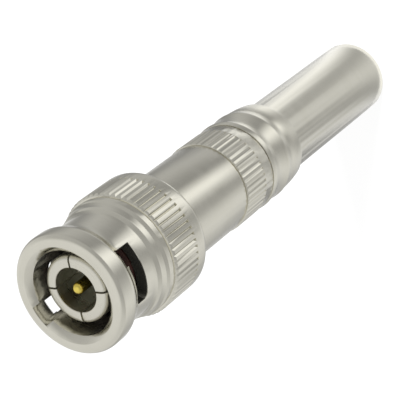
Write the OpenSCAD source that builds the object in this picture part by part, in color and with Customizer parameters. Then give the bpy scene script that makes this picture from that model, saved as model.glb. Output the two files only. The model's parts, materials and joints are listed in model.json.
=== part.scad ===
// Bayonet-coupled coaxial plug: slotted contact and pin inside a turning, sprung coupling ring, with a
// barrel, a screw-on rear nut and a tail tube for the cable. It stands on its tail, mating face up.

/* [Overall] */
// Length from the tail's end to the coupling ring's front face
overall_len = 67.5; // [60:0.5:90]

/* [Coupling ring outside] */
// Diameter of the flared front rim
rim_d = 14.4; // [14.2:0.1:15.2]
// Distance from the front face to the end of the rim's straight side
rim_band = 2; // [1.6:0.1:2.2]
// Rounding of the rim's front edge
rim_edge = 0.8; // [0.3:0.05:1]
// Rounding of the rim's rear edge
rim_rear_edge = 1.4; // [0.6:0.1:1.6]
// Diameter of the neck between rim and shoulder
neck_d = 13; // [12.4:0.1:13.4]
// Radius of the hollow sweep from rim to neck
sweep_r = 3; // [2:0.1:4]
// Distance from the front face to the neck's rear end
neck_end = 7; // [6.8:0.1:7.6]
// Diameter of the ridge between the shoulder's two coves
ridge_d = 13.8; // [13.6:0.05:14]
// Distance from the neck's rear end to the ridge
ridge_run = 0.9; // [0.7:0.05:1]
// Width of the ridge's flat top
ridge_w = 0.2; // [0.1:0.05:0.3]
// Diameter of the smooth lip in front of the grip
lip_d = 14.5; // [14.2:0.05:14.8]
// Distance from the front face to the lip
lip_start = 8.9; // [8.6:0.1:9.2]
// Distance from the front face to the grip's first flute
grip_start = 9.8; // [9.5:0.1:10.4]
// Diameter of the grip
grip_d = 15.3; // [15:0.1:16.5]
// Length of the flutes
flute_len = 4.45; // [3:0.05:4.9]
// Number of flutes round the grip
flute_count = 62; // [40:1:72]
// Depth of one flute
flute_depth = 0.2; // [0.1:0.02:0.36]
// Share of the flute pitch that is open at the surface
flute_share = 0.5; // [0.3:0.02:0.7]
// Chamfer at the grip's front edge
grip_chamfer = 0.25; // [0.1:0.05:0.3]
// Distance from the front face to the ring's rear face
ring_len = 16.5; // [16:0.1:20]
// Rounding of the ring's rear edge
ring_rear_edge = 1; // [0.3:0.1:1.2]
// Chamfer that breaks the turned pieces' sharp edges
edge_break = 0.1; // [0.05:0.05:0.15]

/* [Coupling ring inside] */
// Radial gap between the flange and the bore that passes over the mating jack
bore_gap = 0.25; // [0.15:0.05:0.4]
// Depth and width of the chamfer at the mouth
mouth_chamfer = 0.7; // [0.3:0.05:0.8]
// Radial depth of a stud groove in the bore
groove_depth = 0.65; // [0.4:0.05:0.8]
// Width of a stud groove
groove_w = 2.45; // [2.1:0.05:2.7]
// Angle by which a stud groove's middle lies behind the window's first edge
groove_back = 7.5; // [5:0.5:11]
// Distance that a groove's floor lies in front of the window where it starts to slope out
runout_len = 1.5; // [0.8:0.1:1.8]
// Angle from the window's first edge to the slope's side
runout_side = 1; // [0.5:0.5:3]
// Distance that a stud groove runs past the window's rear edge
groove_run = 0.1; // [0.05:0.05:0.3]
// Distance from the front face to the stud windows
window_start = 3.55; // [3:0.05:3.7]
// Width of a stud window along the axis
window_w = 2.1; // [2:0.05:2.4]
// Angle that a stud window spans
window_angle = 60.5; // [50:0.5:75]
// Corner radius at the window's locking end
window_corner = 0.6; // [0.2:0.05:0.9]
// Length of the ramp that opens the window's first corner
ramp_len = 1; // [0.4:0.1:1.2]
// Angle that the ramp spans
ramp_angle = 5.6; // [3:0.1:8]
// Thickness of the inner lip that the washers push on
lip_t = 1.5; // [1:0.1:2.5]

/* [Outer contact] */
// Distance of the contact's face behind the ring's front face
contact_recess = 1.4; // [0.6:0.1:2]
// Outside diameter of the slotted contact
contact_d = 8.1; // [8:0.02:8.3]
// Radial depth of the seat that the gasket grips
seat_depth = 0.25; // [0.2:0.05:0.4]
// Inside diameter of the slotted contact
contact_bore_d = 5.3; // [4.9:0.05:5.6]
// Length of the contact in front of its flange
contact_len = 5.8; // [5.4:0.1:6.2]
// Rounding of the contact's outer front edge
contact_edge = 0.6; // [0.2:0.05:0.7]
// Number of slits in the contact
slit_count = 4; // [4:1:6]
// Width of a slit
slit_w = 0.22; // [0.15:0.01:0.5]
// Length of a slit
slit_len = 4.3; // [3:0.1:4.3]
// Radial reach of the flange past the shank
flange_reach = 0.95; // [0.8:0.05:1]
// Thickness of the flange
flange_t = 1.4; // [0.8:0.1:2]
// Diameter of the shank behind the flange
shank_d = 7.8; // [7.4:0.05:8]
// Length of the shank inside the barrel
shank_grip = 5.5; // [4:0.1:8]
// Bore of the shank round the rear insulator
shank_bore_d = 6.2; // [5.8:0.05:6.4]
// Length of the gasket in front of the flange
gasket_len = 1.3; // [0.8:0.1:1.4]
// Radial step from the flange down to the gasket
gasket_step = 0.1; // [0.05:0.05:0.3]

/* [Pin and insulators] */
// Diameter of the pin
pin_d = 1.36; // [1.3:0.02:1.4]
// Diameter of the pin's root inside the front insulator
root_d = 1.8; // [1.7:0.05:2.1]
// Depth of the insulator's face below the contact's face
socket_depth = 5.3; // [5:0.05:5.4]
// Thickness of the front insulator
front_insulator_t = 2.8; // [2:0.1:4]
// Thickness of the rear insulator
rear_insulator_t = 5.4; // [4:0.1:6.5]
// Diameter of the pin's collar
collar_d = 2.9; // [2.7:0.05:3.4]
// Thickness of the pin's collar
collar_t = 0.7; // [0.4:0.05:1]
// Diameter of the pin behind its collar, with the solder cup
stem_d = 2.2; // [2:0.05:2.4]
// Reach of the solder cup behind the barrel's end
cup_reach = 2; // [1:0.1:4]
// Bore of the solder cup
cup_bore_d = 1.4; // [1:0.05:1.5]
// Depth of the solder cup's bore
cup_depth = 3.6; // [2:0.1:4]
// Length of the solder window in the cup's side
cup_window = 2.2; // [1:0.1:2.6]
// Length of the insulating sleeve over the solder cup
sleeve_len = 11; // [8:0.5:13]
// Wall of the insulating sleeve
sleeve_wall = 0.5; // [0.3:0.05:0.7]
// Distance from the support bead to the sleeve
sleeve_gap = 1; // [0.5:0.1:2]
// Thickness of the bead that holds the pin's stem on the axis
support_t = 3; // [2:0.1:5]
// Distance from the nut's shoulder to the bead's rear face
support_recess = 0.4; // [0.2:0.1:1]

/* [Washers] */
// Free height of the wave washer as fitted
wave_h = 0.85; // [0.7:0.05:1]
// Thickness of the wave washer's strip
wave_t = 0.2; // [0.15:0.01:0.3]
// Number of waves
wave_count = 3; // [3:1:4]
// Thickness of the thrust washer
thrust_t = 0.4; // [0.3:0.05:0.6]

/* [Barrel] */
// Outside diameter of the barrel
barrel_d = 11.5; // [11.3:0.05:11.7]
// Length of the barrel in front of the nut's shoulder
barrel_len = 17.05; // [15:0.1:25]
// Main bore of the barrel
barrel_bore_d = 9; // [8.8:0.05:9.4]
// Diameter of the threaded stub
stub_d = 10.6; // [10.4:0.05:10.7]
// Length of the threaded stub
stub_len = 5; // [4:0.1:6]
// Chamfer at the stub's end
stub_chamfer = 0.25; // [0.1:0.05:0.3]

/* [Cable clamp] */
// Length of the clamp's band in the barrel
clamp_band = 2; // [1.5:0.1:3]
// Sheet thickness of the clamp
clamp_t = 0.5; // [0.4:0.05:0.6]
// Length of the clamp's trough
trough_len = 18; // [14:0.5:22]
// Outside diameter of the trough
trough_d = 7; // [6.6:0.1:7.2]
// Angle that the trough wraps in front of the wings
trough_wrap = 170; // [140:5:200]
// Length of the crimp wings
wing_len = 5; // [3:0.1:6]
// Angle that trough and wings wrap together
wing_wrap = 290; // [240:5:320]

/* [Rear nut] */
// Diameter over the nut's flutes
nut_d = 11.8; // [11.7:0.05:12.4]
// Length of the nut
nut_len = 14.1; // [13:0.1:20]
// Chamfer at the nut's front edge
nut_chamfer = 0.1; // [0.05:0.05:0.3]
// Length of the nut's fluted band
nut_grip_len = 4.4; // [3:0.1:4.8]
// Number of flutes round the nut
nut_flute_count = 50; // [30:1:60]
// Depth of one flute on the nut
nut_flute_depth = 0.1; // [0.05:0.01:0.2]
// Share of the nut's flute pitch that is open at the surface
nut_flute_share = 0.5; // [0.3:0.02:0.7]
// Length of the plain band behind the flutes
nut_plain_len = 1.85; // [1:0.05:2.5]
// Width of the slot behind the plain band
slot_w = 0.15; // [0.1:0.05:0.3]
// Radial depth of the slot
slot_depth = 0.25; // [0.1:0.05:0.35]
// Diameter of the nut's two beads
bead_d = 11.95; // [11.9:0.05:12.4]
// Diameter of the waist between the beads
waist_d = 11.72; // [11.6:0.02:11.8]
// Length of one bead
bead_len = 1.1; // [0.6:0.05:1.4]
// Length of the waist
waist_len = 2.1; // [1:0.1:3]
// Diameter of the collar's rear edge
collar_end_d = 11.15; // [11:0.05:11.3]
// Chamfer outside the collar's rear edge
collar_edge = 0.15; // [0.1:0.05:0.25]
// Chamfer inside the collar's rear edge
collar_mouth = 0.3; // [0.1:0.05:0.35]

/* [Tail tube] */
// Outside diameter of the tail tube
tail_d = 9.8; // [9.7:0.02:9.86]
// Bore of the tail tube round the clamp
tail_bore_d = 8.6; // [8.4:0.05:8.8]
// Bore where the cable enters
entry_bore_d = 7.6; // [6:0.1:8.2]
// Length of the cable entry
entry_len = 10; // [5:0.5:15]
// Rounding of the tube's outer end
tail_edge = 0.5; // [0.1:0.05:0.7]
// Thickness of the tube's captive flange
tail_flange_t = 1.2; // [0.8:0.1:1.6]

/* [Fits] */
// Radial running clearance of a turning fit
run_fit = 0.05; // [0.02:0.01:0.08]
// Radial clearance between the nut and the tail tube
tail_fit = 0.1; // [0.05:0.01:0.1]
// Gap between two faces that meet but part in use
face_gap = 0.02; // [0.01:0.01:0.05]
// Radial clearance between the ring's skirt and the barrel
skirt_fit = 0.1; // [0.06:0.01:0.2]

/* [Hidden] */

$fn = 96;
// Overshoot that keeps a cutting tool clear of the face that it cuts
over = 1;
// Steps in one arc of a turned outline
arc_steps = 5;
// Steps in one wave of the wave washer
wave_steps = 24;

nickel = [0.80, 0.79, 0.76];
gold = [0.93, 0.74, 0.32];

// Stations along the axis, measured back from the ring's front face
contact_face = contact_recess;
insulator_face = contact_face + socket_depth;
flange_front = contact_face + contact_len;
flange_rear = flange_front + flange_t;
thrust_front = flange_rear + wave_h;
lip_front = thrust_front + thrust_t + face_gap;
lip_rear = lip_front + lip_t;
barrel_front = lip_rear + face_gap;
shank_end = barrel_front + shank_grip;
pin_collar_front = insulator_face + front_insulator_t;
rear_insulator_end = pin_collar_front + rear_insulator_t;
nut_shoulder = barrel_front + barrel_len;
nut_front = nut_shoulder + face_gap;
barrel_end = nut_shoulder + stub_len;
support_end = nut_shoulder - support_recess;
cup_end = barrel_end + cup_reach;
sleeve_front = support_end + sleeve_gap;
clamp_front = support_end;
trough_end = clamp_front + clamp_band + trough_len;
tail_flange_front = barrel_end + face_gap;
nut_step = tail_flange_front + tail_flange_t + face_gap;
nut_end = nut_front + nut_len;
flute_end = grip_start + flute_len;

// Angular places, counted anticlockwise from +X as seen from the front
window_from = 6;
groove_at = window_from - groove_back;
first_slit = 57;

// Diameters that follow from the pieces that they pass over or sit on
flange_d = shank_d + 2 * flange_reach;
washer_d = flange_d;
washer_bore_d = shank_d + 2 * run_fit;
ring_bore_d = flange_d + 2 * bore_gap;
groove_d = ring_bore_d + 2 * groove_depth;
gasket_d = flange_d - 2 * gasket_step;
seat_d = contact_d - 2 * seat_depth;

// Height above the tail's end of a station
function up(station) = overall_len - station;

// Points of an arc in a turned outline
function arc(cr, cz, r, from, to) =
    [for (i = [0 : arc_steps]) let (t = from + (to - from) * i / arc_steps) [cr + r * cos(t), cz + r * sin(t)]];

// Turned solid from an outline of [radius, height] points
module turned(outline) {
    rotate_extrude() polygon(outline);
}

// Tube between two stations
module tube(front, rear, outer_d, inner_d) {
    translate([0, 0, up(rear)])
        difference() {
            cylinder(h = rear - front, d = outer_d);
            translate([0, 0, -over]) cylinder(h = rear - front + 2 * over, d = inner_d);
        }
}

// Bore between two stations, as a cutting tool
module bore(front, rear, d) {
    translate([0, 0, up(rear)]) cylinder(h = rear - front, d = d);
}

// V flutes round a cylinder, as a cutting tool
module flutes(front, rear, d, count, depth, share) {
    // The flanks run on past the surface by half the depth, and the open angle grows with them
    rise = depth / 2;
    half = share * 180 / count * (depth + rise) / depth;
    translate([0, 0, up(rear)])
        linear_extrude(height = rear - front)
            difference() {
                circle(d = d + 4 * rise);
                polygon([for (i = [0 : count - 1], k = [-1, 0, 1])
                    let (a = i * 360 / count + k * half, r = k == 0 ? d / 2 - depth : d / 2 + rise)
                        [r * cos(a), r * sin(a)]]);
            }
}

// Part of a ring between two stations, swept clockwise from an angle, as a cutting tool
module sector(front, rear, inner_d, outer_d, from, sweep) {
    rotate([0, 0, from - sweep])
        rotate_extrude(angle = sweep)
            translate([inner_d / 2, up(rear)]) square([(outer_d - inner_d) / 2, rear - front]);
}

// Window for one stud, with a ramp at its first corner and a rounded locking end
module stud_window() {
    window_end = window_start + window_w;
    corner_angle = window_corner / (neck_d / 2) * 180 / PI;
    inner = shank_d;
    outer = grip_d;
    sector(window_start, window_end, inner, outer, window_from, window_angle - corner_angle);
    sector(window_start + window_corner, window_end - window_corner, inner, outer, window_from, window_angle);
    for (station = [window_start + window_corner, window_end - window_corner])
        rotate([0, 0, window_from - window_angle + corner_angle])
            translate([inner / 2, 0, up(station)])
                rotate([0, 90, 0]) cylinder(h = (outer - inner) / 2, r = window_corner);
    ramp_foot = neck_d * sin(ramp_angle);
    rotate([0, 0, window_from])
        translate([inner / 2, 0, up(window_start)])
            rotate([90, 0, 90])
                linear_extrude(height = (outer - inner) / 2)
                    polygon([[0, ramp_len], [-ramp_foot / 2, 0], [-ramp_foot / 2, -window_w / 2], [0, -window_w / 2]]);
}

// Groove that lets one stud in from the front
module stud_groove() {
    groove_len = window_start + window_w + groove_run;
    rotate([0, 0, groove_at])
        translate([0, 0, up(groove_len)])
            intersection() {
                translate([0, -groove_w / 2, 0]) cube([groove_d, groove_w, groove_len + over]);
                cylinder(h = groove_len + over, d = groove_d);
            }
}

// Slope by which the groove's floor runs out through the wall into the window
module groove_runout() {
    runout_front = window_start - runout_len;
    rise = window_w / 2 + runout_len;
    sweep = window_from - runout_side - groove_at + asin(groove_w / neck_d);
    rotate([0, 0, window_from - runout_side - sweep])
        rotate_extrude(angle = sweep)
            polygon([[ring_bore_d / 2, up(runout_front - groove_depth)],
                [groove_d / 2 + rise, up(runout_front + rise)],
                [ring_bore_d / 2, up(runout_front + rise)]]);
}

module coupling_ring() {
    rim_r = rim_d / 2;
    neck_r = neck_d / 2;
    ridge_r = ridge_d / 2;
    lip_r = lip_d / 2;
    grip_r = grip_d / 2;
    // The rim's rear edge and the hollow sweep meet on a slope of this angle
    sweep = acos(1 - (rim_r - neck_r) / (rim_rear_edge + sweep_r));
    neck_front = rim_band + (rim_rear_edge + sweep_r) * sin(sweep);
    ridge_at = neck_end + ridge_run;
    cove_r = (ridge_run ^ 2 + (ridge_r - neck_r) ^ 2) / (2 * (ridge_r - neck_r));
    cove_angle = asin(ridge_run / cove_r);
    outline = concat(
        [[ring_bore_d / 2, up(mouth_chamfer)], [ring_bore_d / 2 + mouth_chamfer, up(0)]],
        arc(rim_r - rim_edge, up(rim_edge), rim_edge, 90, 0),
        arc(rim_r - rim_rear_edge, up(rim_band), rim_rear_edge, 0, -sweep),
        arc(neck_r + sweep_r, up(neck_front), sweep_r, 180 - sweep, 180),
        arc(neck_r + cove_r, up(neck_end), cove_r, 180, 180 + cove_angle),
        [[ridge_r, up(ridge_at + ridge_w)],
            [(ridge_r + lip_r) / 2 - edge_break, up((ridge_at + ridge_w + lip_start) / 2 + edge_break)],
            [lip_r - edge_break, up(lip_start)],
            [lip_r, up(lip_start + edge_break)],
            [lip_r, up(grip_start)],
            [grip_r - grip_chamfer, up(grip_start)],
            [grip_r, up(grip_start + grip_chamfer)]],
        arc(grip_r - ring_rear_edge, up(ring_len - ring_rear_edge), ring_rear_edge, 0, -90),
        [[barrel_d / 2 + skirt_fit + edge_break, up(ring_len)],
            [barrel_d / 2 + skirt_fit, up(ring_len - edge_break)],
            [barrel_d / 2 + skirt_fit, up(lip_rear)],
            [shank_d / 2 + run_fit, up(lip_rear)],
            [shank_d / 2 + run_fit, up(lip_front)],
            [ring_bore_d / 2, up(lip_front)]]);
    color(nickel)
        difference() {
            turned(outline);
            for (turn = [0, 180])
                rotate([0, 0, turn]) {
                    stud_window();
                    stud_groove();
                    groove_runout();
                }
            flutes(grip_start - over / 2, flute_end, grip_d, flute_count, flute_depth, flute_share);
        }
}

module contact_body() {
    r = contact_d / 2;
    seat_front = flange_front - gasket_len;
    outline = concat(
        [[contact_bore_d / 2, up(contact_face + edge_break)], [contact_bore_d / 2 + edge_break, up(contact_face)]],
        arc(r - contact_edge, up(contact_face + contact_edge), contact_edge, 90, 0),
        [[r, up(seat_front)],
            [seat_d / 2, up(seat_front)],
            [seat_d / 2, up(flange_front)],
            [flange_d / 2, up(flange_front)],
            [flange_d / 2, up(flange_rear)],
            [shank_d / 2, up(flange_rear)],
            [shank_d / 2, up(shank_end)],
            [shank_bore_d / 2, up(shank_end)],
            [shank_bore_d / 2, up(pin_collar_front)],
            [contact_bore_d / 2, up(pin_collar_front)]]);
    color(nickel)
        difference() {
            turned(outline);
            for (i = [0 : slit_count - 1])
                rotate([0, 0, first_slit + i * 360 / slit_count])
                    translate([0, -slit_w / 2, up(contact_face + slit_len)])
                        cube([contact_d, slit_w, slit_len + over]);
        }
}

module face_gasket() {
    color([0.30, 0.13, 0.10]) tube(flange_front - gasket_len, flange_front, gasket_d, seat_d);
}

module centre_pin() {
    r = pin_d / 2;
    outline = concat(
        [[0, up(cup_end)], [stem_d / 2, up(cup_end)],
            [stem_d / 2, up(pin_collar_front + collar_t)],
            [collar_d / 2, up(pin_collar_front + collar_t)],
            [collar_d / 2, up(pin_collar_front)],
            [root_d / 2, up(pin_collar_front)],
            [root_d / 2, up(insulator_face)],
            [r, up(insulator_face)]],
        arc(0, up(contact_face + r), r, 0, 90));
    color(gold)
        difference() {
            turned(outline);
            bore(cup_end - cup_depth, cup_end + over, cup_bore_d);
            // Solder window in the cup's side
            translate([0, -cup_bore_d / 2, up(cup_end) - over])
                cube([stem_d, cup_bore_d, cup_window + over]);
        }
}

module front_insulator() {
    color([0.93, 0.93, 0.90]) tube(insulator_face, pin_collar_front, contact_bore_d, root_d);
}

module rear_insulator() {
    color([0.93, 0.93, 0.90])
        difference() {
            tube(pin_collar_front, rear_insulator_end, shank_bore_d, stem_d);
            bore(pin_collar_front, pin_collar_front + collar_t, collar_d);
        }
}

// Mid-height of the wave washer's strip at an angle
function wave_mid(angle) = up((flange_rear + thrust_front) / 2) + (wave_h - wave_t) / 2 * cos(wave_count * angle);

module wave_washer() {
    steps = wave_steps * wave_count;
    inner_r = washer_bore_d / 2;
    outer_r = washer_d / 2;
    corners = [[inner_r, -wave_t / 2], [outer_r, -wave_t / 2], [outer_r, wave_t / 2], [inner_r, wave_t / 2]];
    points = [for (i = [0 : steps - 1], c = corners)
        let (a = i * 360 / steps) [c[0] * cos(a), c[0] * sin(a), wave_mid(a) + c[1]]];
    faces = [for (i = [0 : steps - 1], k = [0 : 3])
        let (here = 4 * i, next = 4 * ((i + 1) % steps), j = (k + 1) % 4)
            [here + k, next + k, next + j, here + j]];
    color([0.70, 0.70, 0.68]) polyhedron(points, faces);
}

module thrust_washer() {
    color([0.74, 0.74, 0.72]) tube(thrust_front, thrust_front + thrust_t, washer_d, washer_bore_d);
}

module barrel() {
    bore_cone = (barrel_bore_d - shank_d) / 2;
    outline = [
        [shank_d / 2, up(barrel_front)],
        [barrel_d / 2 - edge_break, up(barrel_front)],
        [barrel_d / 2, up(barrel_front + edge_break)],
        [barrel_d / 2, up(nut_shoulder - edge_break)],
        [barrel_d / 2 - edge_break, up(nut_shoulder)],
        [stub_d / 2, up(nut_shoulder)],
        [stub_d / 2, up(barrel_end - stub_chamfer)],
        [stub_d / 2 - stub_chamfer, up(barrel_end)],
        [barrel_bore_d / 2, up(barrel_end)],
        [barrel_bore_d / 2, up(shank_end + bore_cone)],
        [shank_d / 2, up(shank_end)]];
    color(nickel) turned(outline);
}

module cable_clamp() {
    band_end = clamp_front + clamp_band;
    wing_start = trough_end - wing_len;
    // Web that joins the band to the narrower trough
    web_rear = band_end - clamp_t / 2;
    web_front = web_rear - clamp_t;
    web_r = (barrel_bore_d - clamp_t) / 2;
    inner_r = trough_d / 2 - clamp_t;
    opening = (wing_wrap - trough_wrap) / 2 + over;
    color([0.78, 0.77, 0.74])
        union() {
            tube(clamp_front, band_end, barrel_bore_d, barrel_bore_d - 2 * clamp_t);
            difference() {
                rotate([0, 0, -90 - wing_wrap / 2])
                    rotate_extrude(angle = wing_wrap)
                        polygon([[inner_r, up(web_front)], [web_r, up(web_front)],
                            [web_r, up(web_rear)], [trough_d / 2, up(web_rear)],
                            [trough_d / 2, up(trough_end)], [inner_r, up(trough_end)]]);
                for (from = [-90 + trough_wrap / 2 + opening, -90 - trough_wrap / 2])
                    sector(web_front - over, wing_start, 2 * over, barrel_d, from, opening);
            }
        }
}

module support_bead() {
    color([0.93, 0.93, 0.90]) tube(support_end - support_t, support_end, barrel_bore_d, stem_d);
}

module insulating_sleeve() {
    color([0.95, 0.95, 0.92]) tube(sleeve_front, sleeve_front + sleeve_len, stem_d + 2 * sleeve_wall, stem_d);
}

module rear_nut() {
    grip_end = nut_front + nut_grip_len;
    plain_end = grip_end + nut_plain_len;
    bead_a_end = plain_end + bead_len;
    waist_end = bead_a_end + waist_len;
    bead_b_end = waist_end + bead_len;
    plain_d = nut_d - nut_flute_depth;
    // Convex bead: an arc that rises from the waist and falls back to it
    bead_rise = (bead_d - waist_d) / 2;
    bead_r = ((bead_len / 2) ^ 2 + bead_rise ^ 2) / (2 * bead_rise);
    bead_turn = asin(bead_len / 2 / bead_r);
    // Convex collar: an arc that leaves the second bead along the axis and ends at the rear edge
    collar_len = nut_end - collar_edge - bead_b_end;
    collar_fall = (waist_d - collar_end_d) / 2;
    collar_r = (collar_len ^ 2 + collar_fall ^ 2) / (2 * collar_fall);
    outline = concat(
        [[stub_d / 2 + run_fit, up(nut_front)],
            [nut_d / 2 - nut_chamfer, up(nut_front)],
            [nut_d / 2, up(nut_front + nut_chamfer)],
            [nut_d / 2, up(grip_end)],
            [plain_d / 2, up(grip_end)],
            [plain_d / 2, up(plain_end - slot_w)],
            [plain_d / 2 - slot_depth, up(plain_end - slot_w)],
            [plain_d / 2 - slot_depth, up(plain_end)]],
        arc(bead_d / 2 - bead_r, up((plain_end + bead_a_end) / 2), bead_r, bead_turn, -bead_turn),
        arc(bead_d / 2 - bead_r, up((waist_end + bead_b_end) / 2), bead_r, bead_turn, -bead_turn),
        arc(waist_d / 2 - collar_r, up(bead_b_end), collar_r, 0, -asin(collar_len / collar_r)),
        [[collar_end_d / 2 - collar_edge, up(nut_end)],
            [tail_d / 2 + tail_fit + collar_mouth, up(nut_end)],
            [tail_d / 2 + tail_fit, up(nut_end - collar_mouth)],
            [tail_d / 2 + tail_fit, up(nut_step)],
            [stub_d / 2 + run_fit, up(nut_step)]]);
    color(nickel)
        difference() {
            turned(outline);
            flutes(nut_front - over, grip_end - edge_break, nut_d, nut_flute_count, nut_flute_depth, nut_flute_share);
        }
}

module tail_tube() {
    outline = concat(
        [[entry_bore_d / 2, up(overall_len)]],
        arc(tail_d / 2 - tail_edge, up(overall_len - tail_edge), tail_edge, -90, 0),
        [[tail_d / 2, up(tail_flange_front + tail_flange_t)],
            [stub_d / 2, up(tail_flange_front + tail_flange_t)],
            [stub_d / 2, up(tail_flange_front)],
            [tail_bore_d / 2, up(tail_flange_front)],
            [tail_bore_d / 2, up(overall_len - entry_len)],
            [entry_bore_d / 2, up(overall_len - entry_len)]]);
    color(nickel) turned(outline);
}

coupling_ring();
contact_body();
centre_pin();
front_insulator();
rear_insulator();
face_gasket();
wave_washer();
thrust_washer();
barrel();
cable_clamp();
support_bead();
insulating_sleeve();
rear_nut();
tail_tube();
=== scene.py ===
"""Bayonet coaxial plug: softened edges, turned nickel and gold finishes, and a small studio round it"""

import json
import math

import bmesh
import bpy
from bpy.props import FloatProperty, FloatVectorProperty, PointerProperty
from bpy.types import Operator, Panel, PropertyGroup
from mathutils import Matrix, Vector


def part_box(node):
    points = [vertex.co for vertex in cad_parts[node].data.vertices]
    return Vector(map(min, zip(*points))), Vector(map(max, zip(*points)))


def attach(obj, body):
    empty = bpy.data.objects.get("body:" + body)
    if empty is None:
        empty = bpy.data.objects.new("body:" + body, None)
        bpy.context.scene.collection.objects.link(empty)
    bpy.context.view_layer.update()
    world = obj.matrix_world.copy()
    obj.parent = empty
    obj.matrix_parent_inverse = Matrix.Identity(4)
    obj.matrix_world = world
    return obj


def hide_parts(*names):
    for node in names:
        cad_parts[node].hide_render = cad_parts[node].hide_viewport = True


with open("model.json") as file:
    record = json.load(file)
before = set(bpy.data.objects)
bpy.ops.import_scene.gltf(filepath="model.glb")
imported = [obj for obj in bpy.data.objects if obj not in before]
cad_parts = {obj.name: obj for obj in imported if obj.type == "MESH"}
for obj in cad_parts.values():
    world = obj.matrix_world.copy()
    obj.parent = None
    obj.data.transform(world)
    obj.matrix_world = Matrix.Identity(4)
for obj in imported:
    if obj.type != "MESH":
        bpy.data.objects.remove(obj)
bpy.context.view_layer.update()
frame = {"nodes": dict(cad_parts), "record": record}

bl_info = {
    "name": "Bayonet coaxial plug",
    "version": (1, 0, 0),
    "blender": (4, 5, 0),
    "location": "3D View > Sidebar > Plug",
    "description": "Finishes a bayonet coaxial plug and lights it in a small studio",
    "category": "Object",
}

MM = 0.001

# Corners closer than WELD are one, edges under SLIVER go, and faces that turn by less than FLAT are one
WELD = 0.001 * MM
SLIVER = 0.0005 * MM
FLAT = math.radians(0.3)
# Edges that turn by more than SHARP are broken
SHARP = math.radians(28)
EDGE_SEGMENTS = 2

# Hollows where shade is painted into the plating's colour, in millimetres: reach from the axis, distance of the
# mouth from the piece's top, and depth over which the painted shade comes; then the share of the colour that is
# left
RING_BORE_SHADE = (6.42, 0, 6, 0.45)
RING_WINDOW_SHADE = (6.42, 5, 0.6, 0.2)
CONTACT_ROOT_SHADE = (6, 5, 2, 0.12)
PIN_SHAFT_SHADE = (3, 0.5, 0.9, 0.15)
# Half the width, in millimetres, over which a surface passes from outside to inside a reach
REACH_BLUR = 0.05
# How much rougher the plating is made where its painted shade is deepest
HOLLOW_ROUGHNESS = 0.4

# Middle part of a noise, over which a value goes from its lowest to its highest
NOISE_LOW = 0.3
NOISE_HIGH = 0.7
NOISE_ROUGHNESS = 0.55

# Plating: pitch of the turning marks in millimetres and how much finer the fine marks are, clouds and grains
# a metre, share of the marks in the colour, spread of the roughness, and what the bump is made of
MARK_PITCH = 0.25
FINER_MARKS = 5
PLATING_CLOUDS = 0.35 / MM
PLATING_GRAINS = 9 / MM
MARK_SHARE = 0.4
PLATING_MOTTLE = 0.04
FINE_RELIEF = 0.5
GRAIN_RELIEF = 0.3
PLATING_RELIEF = 0.02 * MM

# Polymer: clouds a metre, marks a millimetre, spread of the roughness, reach of light, and bump
POLYMER_CLOUDS = 0.8 / MM
POLYMER_MARKS = 6
POLYMER_MOTTLE = 0.06
POLYMER_DEPTH = 0.5 * MM
POLYMER_BUMP = 0.15
POLYMER_RELIEF = 0.01 * MM

# Thread on the barrel's stub, in metres. Its foot sinks into the core by a share of its depth, its crest is
# flat over a share of its pitch, and some pitches stay plain at the ends.
STUB_LEN = 5 * MM
STUB_R = 5.3 * MM
STUB_SLACK = 0.02 * MM
THREAD_DEPTH = 0.3 * MM
THREAD_SINK = 0.2
THREAD_CREST = 0.1
PITCH = 0.75 * MM
PLAIN_PITCHES = 1.5
THREAD_STEPS = 48

# Floor: half its side, its finish, and the share of its own light that is seen
FLOOR_HALF = 1.5
FLOOR_ROUGHNESS = 0.9
FLOOR_SPECULAR = 0.1
FLOOR_GLOW = 0.8
# Round cards about the axis: height over the floor, where the near one meets the far one, and the tent's size
CARD_LIFT = 0.1 * MM
NEAR_R = 21 * MM
TENT_R = 500 * MM
CARD_STEPS = 72
TENT_RISE = 9
# Heights on the tent, as shares of its size, between which its wall passes into its roof
ROOF_FROM = 0.72
ROOF_FULL = 0.92
# Levels of the cards in the gloss, as pairs of azimuth in degrees and level
NEAR_STRIPS = (
    (-150, 0.48), (-90, 0.74), (-50, 0.47), (-10, 0.74), (30, 0.5), (82, 1.15), (112, 0.88), (165, 0.8),
)
FAR_STRIPS = (
    (-130, 0.48), (-72, 0.82), (-22, 0.42), (10, 1.15), (40, 0.36), (88, 0.54), (128, 0.33), (168, 0.85),
)
TENT_STRIPS = ((-100, 0.7), (-40, 0.45), (20, 0.45), (100, 0.55), (160, 0.83))

# Lamps: places and sizes in metres
LAMP_TARGET = (0, 0, 0.04)
KEY_SPOT = (0.25, 0.3, 0.35)
KEY_SIZE = 0.2
FILL_SPOT = (0.1, -0.4, 0.25)
FILL_SIZE = 0.25
# Camera: its place and clip in metres, how far it looks down, its roll, and its lens and sensor in millimetres
CAMERA_SPOT = (0.123682, -0.000554, 0.18169)
CAMERA_DOWN = math.radians(48.6613)
CAMERA_ROLL = math.radians(-127.9294)
CAMERA_LENS = 141.43
CAMERA_SENSOR = 36
CAMERA_CLIP = 0.01


def colour_property(name, description, default):
    """Property that holds a linear colour"""
    return FloatVectorProperty(
        name=name, description=description, default=default, size=3, subtype="COLOR", min=0, max=1
    )


def roughness_property(name, description, default):
    """Property that holds a roughness"""
    return FloatProperty(name=name, description=description, default=default, min=0.02, max=1)


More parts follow.
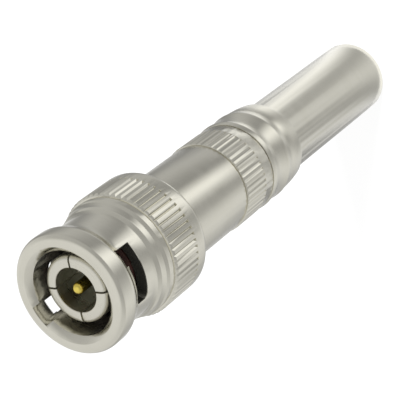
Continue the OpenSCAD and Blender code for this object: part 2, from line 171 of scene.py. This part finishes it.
class PlugFinish(PropertyGroup):
    """Colours and roughnesses of the plug's materials"""

    nickel: colour_property("Nickel", "Colour of the nickel plating", (0.76, 0.741, 0.654))
    nickel_shade: colour_property("Nickel shade", "Colour of the plating where it is dull", (0.71, 0.69, 0.6))
    gold: colour_property("Gold", "Colour of the plated pin", (0.95, 0.76, 0.18))
    gold_shade: colour_property("Gold shade", "Colour of the gold plating where it is dull", (0.75, 0.6, 0.12))
    insulator: colour_property("Insulator", "Colour of the insulators", (0.34, 0.35, 0.29))
    gasket: colour_property("Gasket", "Colour of the face gasket", (0.03, 0.01, 0.008))
    steel: colour_property("Steel", "Colour of the spring steel", (0.5, 0.5, 0.48))
    tin: colour_property("Tin", "Colour of the tinned brass", (0.68, 0.67, 0.62))
    polish: roughness_property("Polish", "Roughness of polished nickel", 0.16)
    turned: roughness_property("Turned", "Roughness of turned nickel", 0.2)
    matt: roughness_property("Matt", "Roughness of matt nickel", 0.3)
    edge: FloatProperty(
        name="Edge", description="Width of a broken edge", default=0.05 * MM, unit="LENGTH", min=0, max=0.3 * MM
    )


class PlugStage(PropertyGroup):
    """Floor, cards and lamps round the plug"""

    floor: colour_property("Floor", "Colour of the floor", (0.86, 0.86, 0.86))
    sky: FloatProperty(
        name="Sky", description="Level of the tent's roof in the gloss", default=0.83, min=0, max=2
    )
    world: FloatProperty(
        name="World", description="Strength of the world's light", default=0.55, min=0, max=4
    )
    key: FloatProperty(
        name="Key", description="Power of the key lamp", default=5, unit="POWER", min=0, max=50
    )
    fill: FloatProperty(
        name="Fill", description="Power of the fill lamp", default=2.5, unit="POWER", min=0, max=50
    )


# ---------------------------------------------------------------- node trees


def add(tree, kind, inputs=None, **values):
    """Node of a kind with its settings, and its inputs filled with numbers or links"""
    made = tree.nodes.new(kind)
    for key, value in values.items():
        setattr(made, key, value)
    for key, value in (inputs or {}).items():
        if isinstance(value, bpy.types.NodeSocket):
            tree.links.new(value, made.inputs[key])
        else:
            made.inputs[key].default_value = value
    return made


def maths(tree, operation, *inputs):
    """Result of a Math node"""
    return add(tree, "ShaderNodeMath", dict(enumerate(inputs)), operation=operation).outputs[0]


def scaled(tree, vector, factor):
    """Vector times a factor"""
    return add(tree, "ShaderNodeVectorMath", {0: vector, "Scale": factor}, operation="SCALE").outputs[0]


def object_spot(tree):
    """Place on the piece, in metres"""
    return add(tree, "ShaderNodeTexCoord").outputs["Object"]


def height_of(tree, vector):
    """Vector's upward part"""
    return add(tree, "ShaderNodeSeparateXYZ", {0: vector}).outputs["Z"]


def blank_material(name):
    """New material's tree and its Principled shader"""
    material = bpy.data.materials.new(name)
    material.use_nodes = True
    tree = material.node_tree
    return material, tree, tree.nodes["Principled BSDF"]


def show(tree, shader):
    """Makes a shader the material's surface"""
    tree.links.new(shader.outputs[0], tree.nodes["Material Output"].inputs["Surface"])


def lathe_vector(tree):
    """Distance from the axis and height in millimetres, along which a lathe's marks run"""
    spot = object_spot(tree)
    flat = add(tree, "ShaderNodeVectorMath", {0: spot, 1: (1, 1, 0)}, operation="MULTIPLY").outputs[0]
    radius = add(tree, "ShaderNodeVectorMath", {0: flat}, operation="LENGTH").outputs["Value"]
    pair = add(tree, "ShaderNodeCombineXYZ", {"X": radius, "Z": height_of(tree, spot)}).outputs[0]
    return scaled(tree, pair, 1 / MM)


def noise(tree, vector, scale, detail):
    """Noise from 0 to 1 over a vector"""
    inputs = {"Vector": vector, "Scale": scale, "Detail": detail, "Roughness": NOISE_ROUGHNESS}
    return add(tree, "ShaderNodeTexNoise", inputs).outputs["Fac"]


def in_range(tree, value, low, high, low_in=NOISE_LOW, high_in=NOISE_HIGH):
    """Value mapped to a range"""
    inputs = {"Value": value, "From Min": low_in, "From Max": high_in, "To Min": low, "To Max": high}
    return add(tree, "ShaderNodeMapRange", inputs).outputs["Result"]


def blend(tree, fac, first, second):
    """Mix of two colours"""
    mix = add(tree, "ShaderNodeMix", {0: fac}, data_type="RGBA")
    for key, value in ((6, first), (7, second)):
        if isinstance(value, bpy.types.NodeSocket):
            tree.links.new(value, mix.inputs[key])
        else:
            mix.inputs[key].default_value = (*value, 1)
    return mix.outputs[2]


def darker(colour, left):
    """Colour of which a share is left"""
    return [left * part for part in colour]


def hollow_shade(tree, lathe, reach, mouth, depth, left):
    """Factor of painted shade that falls with the depth below a mouth, on what lies nearer the axis than a
    reach, all in mm
    """
    parts = add(tree, "ShaderNodeSeparateXYZ", {0: lathe})
    inside = in_range(tree, parts.outputs["X"], 1, 0, reach - REACH_BLUR, reach + REACH_BLUR)
    below = in_range(tree, parts.outputs["Z"], 1, 0, mouth - depth, mouth)
    return maths(tree, "MULTIPLY_ADD", maths(tree, "MULTIPLY", inside, below), left - 1, 1)


def plated_metal(name, colour, shade, roughness, marks=0.1, shaded_hollows=()):
    """Plated metal with fine turning marks round the axis, an uneven plating and painted shade in its hollows
    """
    material, tree, skin = blank_material(name)
    lathe = lathe_vector(tree)
    spot = object_spot(tree)
    coarse = noise(tree, lathe, 1 / MARK_PITCH, 4)
    fine = noise(tree, lathe, FINER_MARKS / MARK_PITCH, 2)
    uneven = noise(tree, spot, PLATING_CLOUDS, 4)
    grain = noise(tree, spot, PLATING_GRAINS, 3)
    tone = maths(tree, "MULTIPLY_ADD", coarse, MARK_SHARE, maths(tree, "MULTIPLY", uneven, 1 - MARK_SHARE))
    plating = blend(tree, in_range(tree, tone, 0, 1), shade, colour)
    rough = maths(tree, "MULTIPLY_ADD", in_range(tree, uneven, -1, 1), PLATING_MOTTLE, roughness)
    # Painted shade: in each hollow the colour is darkened towards its depth, and the plating is made rougher
    # there
    for hollow in shaded_hollows:
        factor = hollow_shade(tree, lathe, *hollow)
        plating = scaled(tree, plating, factor)
        rough = maths(tree, "MULTIPLY_ADD", maths(tree, "SUBTRACT", 1, factor), HOLLOW_ROUGHNESS, rough)
    tree.links.new(plating, skin.inputs["Base Color"])
    skin.inputs["Metallic"].default_value = 1
    rough = maths(tree, "MULTIPLY_ADD", in_range(tree, coarse, -1, 1), PLATING_MOTTLE, rough)
    tree.links.new(rough, skin.inputs["Roughness"])
    relief = maths(tree, "MULTIPLY_ADD", fine, FINE_RELIEF, coarse)
    relief = maths(tree, "MULTIPLY_ADD", grain, GRAIN_RELIEF, relief)
    bump = add(tree, "ShaderNodeBump", {"Strength": marks, "Distance": PLATING_RELIEF, "Height": relief})
    tree.links.new(bump.outputs[0], skin.inputs["Normal"])
    return material


def moulded(name, colour, shade, roughness, softness=0.0):
    """Moulded or turned polymer with a fine grain"""
    material, tree, skin = blank_material(name)
    cloud = noise(tree, object_spot(tree), POLYMER_CLOUDS, 3)
    ring = noise(tree, lathe_vector(tree), POLYMER_MARKS, 2)
    tree.links.new(blend(tree, in_range(tree, cloud, 0, 1), shade, colour), skin.inputs["Base Color"])
    rough = in_range(tree, ring, roughness - POLYMER_MOTTLE, roughness + POLYMER_MOTTLE)
    tree.links.new(rough, skin.inputs["Roughness"])
    skin.inputs["Subsurface Weight"].default_value = softness
    skin.inputs["Subsurface Scale"].default_value = POLYMER_DEPTH
    bump = add(tree, "ShaderNodeBump", {"Strength": POLYMER_BUMP, "Distance": POLYMER_RELIEF, "Height": ring})
    tree.links.new(bump.outputs[0], skin.inputs["Normal"])
    return material


# ---------------------------------------------------------------- pieces


def body_of(node):
    """Name of the body that holds a node"""
    for body, members in frame["record"]["behaviour"]["bodies"].items():
        if node in members:
            return body
    raise KeyError(node)


def hollow_in(node, hollow):
    """A node's hollow of painted shade, its mouth given as a height in millimetres and not as a distance from
    the top
    """
    reach, drop, depth, left = hollow
    return (reach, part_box(node)[1][2] / MM - drop, depth, left)


def dress(node, material):
    """Gives a node of the frame its material"""
    item = frame["nodes"][node]
    item.data.materials.clear()
    item.data.materials.append(material)


def merged(node):
    """Mesh of a node's copy, with its loose triangles joined"""
    form = bmesh.new()
    form.from_mesh(frame["nodes"][node].data)
    bmesh.ops.remove_doubles(form, verts=form.verts, dist=WELD)
    bmesh.ops.dissolve_degenerate(form, edges=form.edges, dist=SLIVER)
    bmesh.ops.dissolve_limit(
        form, angle_limit=FLAT, verts=form.verts, edges=form.edges, use_dissolve_boundaries=False
    )
    return form


def item_of(form, name, material):
    """Object made of a form and its material"""
    mesh = bpy.data.meshes.new(name)
    form.to_mesh(mesh)
    form.free()
    mesh.materials.append(material)
    item = bpy.data.objects.new(name, mesh)
    bpy.context.scene.collection.objects.link(item)
    return item


def softened(form, node, material, edge):
    """Smooth piece with its sharp edges broken, which stands for a node"""
    for face in form.faces:
        face.smooth = True
        face.material_index = 0
    item = item_of(form, "soft_" + node, material)
    bevel = item.modifiers.new("Edges", "BEVEL")
    bevel.width = edge
    bevel.segments = EDGE_SEGMENTS
    bevel.limit_method = "ANGLE"
    bevel.angle_limit = SHARP
    bevel.harden_normals = True
    bevel.use_clamp_overlap = True
    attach(item, body_of(node))
    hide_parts(node)


def stub_core(form, foot):
    """Shrinks the stub above a foot to the root of its thread"""
    for vert in form.verts:
        radius = math.hypot(vert.co.x, vert.co.y)
        on_stub = vert.co.z < foot + STUB_LEN + STUB_SLACK / 2
        if on_stub and abs(radius - STUB_R) < STUB_SLACK:
            vert.co.xy *= (STUB_R - THREAD_DEPTH) / radius


def stub_thread(foot):
    """Helical ridge of a thread that starts one pitch above a foot"""
    form = bmesh.new()
    root = STUB_R - (1 + THREAD_SINK) * THREAD_DEPTH
    half = PITCH / 2
    crest = THREAD_CREST * half
    section = [(root, -half), (STUB_R, -crest), (STUB_R, crest), (root, half)]
    corners = [form.verts.new((r, 0, foot + PITCH + z)) for r, z in section]
    edges = [form.edges.new(pair) for pair in zip(corners, corners[1:] + corners[:1])]
    turns = math.floor((STUB_LEN - PLAIN_PITCHES * PITCH) / PITCH)
    bmesh.ops.spin(
        form,
        geom=corners + edges,
        cent=(0, 0, 0),
        axis=(0, 0, 1),
        dvec=(0, 0, PITCH / THREAD_STEPS),
        angle=math.tau * turns,
        steps=THREAD_STEPS * turns,
    )
    bmesh.ops.holes_fill(form, edges=form.edges, sides=4)
    bmesh.ops.recalc_face_normals(form, faces=form.faces)
    return form


class PLUG_OT_coupling_ring(Operator):
    """Make the coupling ring with soft edges and painted shade in its bore and window"""

    bl_idname = "plug.coupling_ring"
    bl_label = "Coupling ring"

    def execute(self, context):
        tone = context.scene.plug_finish
        shaded_hollows = [hollow_in("coupling_ring", hollow) for hollow in (RING_BORE_SHADE, RING_WINDOW_SHADE)]
        skin = plated_metal(
            "ring_nickel", tone.nickel, tone.nickel_shade, tone.polish, marks=0.05, shaded_hollows=shaded_hollows
        )
        softened(merged("coupling_ring"), "coupling_ring", skin, tone.edge)
        return {"FINISHED"}


class PLUG_OT_contact(Operator):
    """Make the slotted contact with soft edges and painted shade at its root"""

    bl_idname = "plug.contact"
    bl_label = "Slotted contact"

    def execute(self, context):
        tone = context.scene.plug_finish
        shaded_hollows = [hollow_in("contact_body", CONTACT_ROOT_SHADE)]
        skin = plated_metal(
            "contact_nickel", tone.nickel, tone.nickel_shade, tone.matt, marks=0.05, shaded_hollows=shaded_hollows
        )
        softened(merged("contact_body"), "contact_body", skin, tone.edge)
        return {"FINISHED"}


class PLUG_OT_pin(Operator):
    """Make the centre pin, with painted shade on its shaft below the bright tip"""

    bl_idname = "plug.pin"
    bl_label = "Centre pin"

    def execute(self, context):
        tone = context.scene.plug_finish
        shaded_hollows = [hollow_in("centre_pin", PIN_SHAFT_SHADE)]
        skin = plated_metal(
            "gold_plate", tone.gold, tone.gold_shade, tone.polish / 2, marks=0.03, shaded_hollows=shaded_hollows
        )
        softened(merged("centre_pin"), "centre_pin", skin, tone.edge / 2)
        return {"FINISHED"}


class PLUG_OT_insulators(Operator):
    """Finish the insulators, the support bead and the sleeve"""

    bl_idname = "plug.insulators"
    bl_label = "Insulators"

    def execute(self, context):
        tone = context.scene.plug_finish
        plain = moulded("insulator_polymer", tone.insulator, darker(tone.insulator, 0.85), 0.45, softness=0.1)
        for node in ("front_insulator", "rear_insulator", "support_bead", "insulating_sleeve"):
            dress(node, plain)
        return {"FINISHED"}


class PLUG_OT_gasket(Operator):
    """Finish the face gasket"""

    bl_idname = "plug.gasket"
    bl_label = "Gasket"

    def execute(self, context):
        tone = context.scene.plug_finish
        dress("face_gasket", moulded("gasket_rubber", tone.gasket, darker(tone.gasket, 0.6), 0.6))
        return {"FINISHED"}


class PLUG_OT_washers(Operator):
    """Finish the wave washer and the thrust washer"""

    bl_idname = "plug.washers"
    bl_label = "Washers"

    def execute(self, context):
        tone = context.scene.plug_finish
        steel = plated_metal("spring_steel", tone.steel, darker(tone.steel, 0.8), tone.matt)
        for node in ("wave_washer", "thrust_washer"):
            dress(node, steel)
        return {"FINISHED"}


class PLUG_OT_barrel(Operator):
    """Make the barrel and cut the thread on its stub"""

    bl_idname = "plug.barrel"
    bl_label = "Barrel"

    def execute(self, context):
        tone = context.scene.plug_finish
        skin = plated_metal("barrel_nickel", tone.nickel, tone.nickel_shade, tone.turned)
        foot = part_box("barrel")[0][2]
        form = merged("barrel")
        stub_core(form, foot)
        softened(form, "barrel", skin, tone.edge)
        thread = item_of(stub_thread(foot), "stub_thread", skin)
        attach(thread, body_of("barrel"))
        return {"FINISHED"}


class PLUG_OT_clamp(Operator):
    """Finish the cable clamp"""

    bl_idname = "plug.clamp"
    bl_label = "Cable clamp"

    def execute(self, context):
        tone = context.scene.plug_finish
        dress("cable_clamp", plated_metal("tinned_brass", tone.tin, darker(tone.tin, 0.8), tone.matt))
        return {"FINISHED"}


class PLUG_OT_nut(Operator):
    """Make the rear nut with soft edges"""

    bl_idname = "plug.nut"
    bl_label = "Rear nut"

    def execute(self, context):
        tone = context.scene.plug_finish
        skin = plated_metal("nut_nickel", tone.nickel, tone.nickel_shade, tone.turned)
        softened(merged("rear_nut"), "rear_nut", skin, tone.edge)
        return {"FINISHED"}


class PLUG_OT_tail(Operator):
    """Make the tail tube with soft edges"""

    bl_idname = "plug.tail"
    bl_label = "Tail tube"

    def execute(self, context):
        tone = context.scene.plug_finish
        skin = plated_metal("tail_nickel", tone.nickel, tone.nickel_shade, tone.polish, marks=0.08)
        softened(merged("tail_tube"), "tail_tube", skin, tone.edge)
        return {"FINISHED"}


# ---------------------------------------------------------------- stage


def seen(tree):
    """1 on rays from the camera, of gloss and through clear things, and 0 on the others"""
    path = add(tree, "ShaderNodeLightPath")
    direct = maths(tree, "MAXIMUM", path.outputs["Is Camera Ray"], path.outputs["Is Glossy Ray"])
    return maths(tree, "MAXIMUM", direct, path.outputs["Is Transmission Ray"])


def lamp(name, spot, power, size):
    """Soft round lamp that points at the plug"""
    light = bpy.data.lights.new(name, "AREA")
    light.energy = power
    light.shape = "DISK"
    light.size = size
    item = bpy.data.objects.new(name, light)
    aim = (Vector(LAMP_TARGET) - Vector(spot)).to_track_quat("-Z", "Y")
    item.matrix_world = Matrix.Translation(spot) @ aim.to_matrix().to_4x4()
    item.visible_camera = False
    item.visible_glossy = False
    bpy.context.scene.collection.objects.link(item)


def level_round(tree, strips):
    """Level that changes smoothly round the axis between strips of (azimuth in degrees, level)"""
    turn = add(tree, "ShaderNodeTexGradient", {"Vector": object_spot(tree)}, gradient_type="RADIAL")
    ramp = add(tree, "ShaderNodeValToRGB", {"Fac": turn.outputs["Fac"]})
    ramp.color_ramp.interpolation = "EASE"
    (first, low), (last, high) = strips[0], strips[-1]
    seam = low + (high - low) * (first + 180) / (first + 360 - last)
    stops = ramp.color_ramp.elements
    for stop, place in ((stops[0], 0), (stops[1], 1)):
        stop.position, stop.color = place, (seam, seam, seam, 1)
    for azimuth, level in strips:
        stops.new(azimuth / 360 + 0.5).color = (level, level, level, 1)
    return ramp.outputs["Color"]


def card(name, outline, strips, roof=None):
    """Round card about the plug's axis, spun from an outline, that only gloss shows"""
    form = bmesh.new()
    corners = [form.verts.new((r, 0, z)) for r, z in outline]
    edges = [form.edges.new(pair) for pair in zip(corners, corners[1:])]
    bmesh.ops.spin(
        form,
        geom=corners + edges,
        cent=(0, 0, 0),
        axis=(0, 0, 1),
        angle=math.tau,
        steps=CARD_STEPS,
        use_merge=True,
    )
    bmesh.ops.remove_doubles(form, verts=form.verts, dist=WELD)
    material, tree, _ = blank_material(name + "_paper")
    level = level_round(tree, strips)
    if roof is not None:
        way = add(tree, "ShaderNodeVectorMath", {0: object_spot(tree)}, operation="NORMALIZE").outputs[0]
        up = in_range(tree, height_of(tree, way), 0, 1, ROOF_FROM, ROOF_FULL)
        level = blend(tree, up, level, (roof, roof, roof))
    show(tree, add(tree, "ShaderNodeEmission", {"Color": level, "Strength": 1}))
    item = item_of(form, name, material)
    item.visible_camera = False
    item.visible_diffuse = False
    item.visible_shadow = False
    item.visible_transmission = False


def pale_floor(colour):
    """Floor that adds white of its own where it is seen"""
    form = bmesh.new()
    bmesh.ops.create_grid(form, x_segments=8, y_segments=8, size=FLOOR_HALF)
    material, tree, skin = blank_material("pale_floor")
    skin.inputs["Base Color"].default_value = (*colour, 1)
    skin.inputs["Roughness"].default_value = FLOOR_ROUGHNESS
    skin.inputs["Specular IOR Level"].default_value = FLOOR_SPECULAR
    share = maths(tree, "MULTIPLY", seen(tree), FLOOR_GLOW)
    glow = add(tree, "ShaderNodeEmission", {"Strength": 1})
    show(tree, add(tree, "ShaderNodeMixShader", {0: share, 1: skin.outputs[0], 2: glow.outputs[0]}))
    item_of(form, "floor", material)


def glossy_cards(sky):
    """Cards on the floor and a tent over the plug"""
    tail_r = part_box("tail_tube")[1][0]
    card("near_card", [(tail_r, CARD_LIFT), (NEAR_R, CARD_LIFT)], NEAR_STRIPS)
    card("far_card", [(NEAR_R, CARD_LIFT), (TENT_R, CARD_LIFT)], FAR_STRIPS)
    rise = [math.radians(90 / TENT_RISE * i) for i in range(TENT_RISE + 1)]
    dome = [(TENT_R * math.cos(t), CARD_LIFT + TENT_R * math.sin(t)) for t in rise]
    card("tent", dome, TENT_STRIPS, sky)


def white_world(strength):
    """World that is white where it is seen and weaker as a light"""
    world = bpy.data.worlds.new("studio")
    bpy.context.scene.world = world
    world.use_nodes = True
    tree = world.node_tree
    back = tree.nodes["Background"]
    back.inputs["Color"].default_value = (1, 1, 1, 1)
    tree.links.new(in_range(tree, seen(tree), strength, 1, 0, 1), back.inputs["Strength"])


def place_camera():
    """Camera over the mating face, tilted down and rolled so that the plug lies on a slant"""
    camera = bpy.data.cameras.new("camera")
    camera.lens = CAMERA_LENS
    camera.sensor_width = CAMERA_SENSOR
    camera.clip_start = CAMERA_CLIP
    item = bpy.data.objects.new("camera", camera)
    quarter = math.radians(90)
    aim = Matrix.Rotation(quarter, 4, "Z") @ Matrix.Rotation(quarter - CAMERA_DOWN, 4, "X")
    item.matrix_world = Matrix.Translation(CAMERA_SPOT) @ aim @ Matrix.Rotation(CAMERA_ROLL, 4, "Z")
    bpy.context.scene.collection.objects.link(item)
    bpy.context.scene.camera = item


class PLUG_OT_stage(Operator):
    """Set up the floor, the cards, the lamps, the world and the camera"""

    bl_idname = "plug.stage"
    bl_label = "Stage"

    def execute(self, context):
        stage = context.scene.plug_stage
        pale_floor(stage.floor)
        glossy_cards(stage.sky)
        white_world(stage.world)
        lamp("key", KEY_SPOT, stage.key, KEY_SIZE)
        lamp("fill", FILL_SPOT, stage.fill, FILL_SIZE)
        place_camera()
        context.scene.view_settings.view_transform = "Standard"
        return {"FINISHED"}


class PLUG_PT_panel(Panel):
    """The plug's pieces, finishes and stage"""

    bl_idname = "PLUG_PT_panel"
    bl_label = "Bayonet plug"
    bl_space_type = "VIEW_3D"
    bl_region_type = "UI"
    bl_category = "Plug"

    def draw(self, context):
        for made in STEPS:
            self.layout.operator(made.bl_idname)
        for group in (context.scene.plug_finish, context.scene.plug_stage):
            box = self.layout.box()
            for key in group.bl_rna.properties.keys():
                if key not in ("rna_type", "name"):
                    box.prop(group, key)


STEPS = (
    PLUG_OT_coupling_ring,
    PLUG_OT_contact,
    PLUG_OT_pin,
    PLUG_OT_insulators,
    PLUG_OT_gasket,
    PLUG_OT_washers,
    PLUG_OT_barrel,
    PLUG_OT_clamp,
    PLUG_OT_nut,
    PLUG_OT_tail,
    PLUG_OT_stage,
)
GROUPS = (PlugFinish, PlugStage)


def register():
    """Register the settings, the operators and the panel"""
    for made in (*GROUPS, *STEPS, PLUG_PT_panel):
        bpy.utils.register_class(made)
    bpy.types.Scene.plug_finish = PointerProperty(type=PlugFinish)
    bpy.types.Scene.plug_stage = PointerProperty(type=PlugStage)


def unregister():
    """Remove them again"""
    del bpy.types.Scene.plug_stage
    del bpy.types.Scene.plug_finish
    for made in reversed((*GROUPS, *STEPS, PLUG_PT_panel)):
        bpy.utils.unregister_class(made)


def main():
    """Make every piece and the stage"""
    register()
    for step in STEPS:
        getattr(bpy.ops.plug, step.bl_idname.split(".")[1])()


if __name__ == "__main__":
    main()
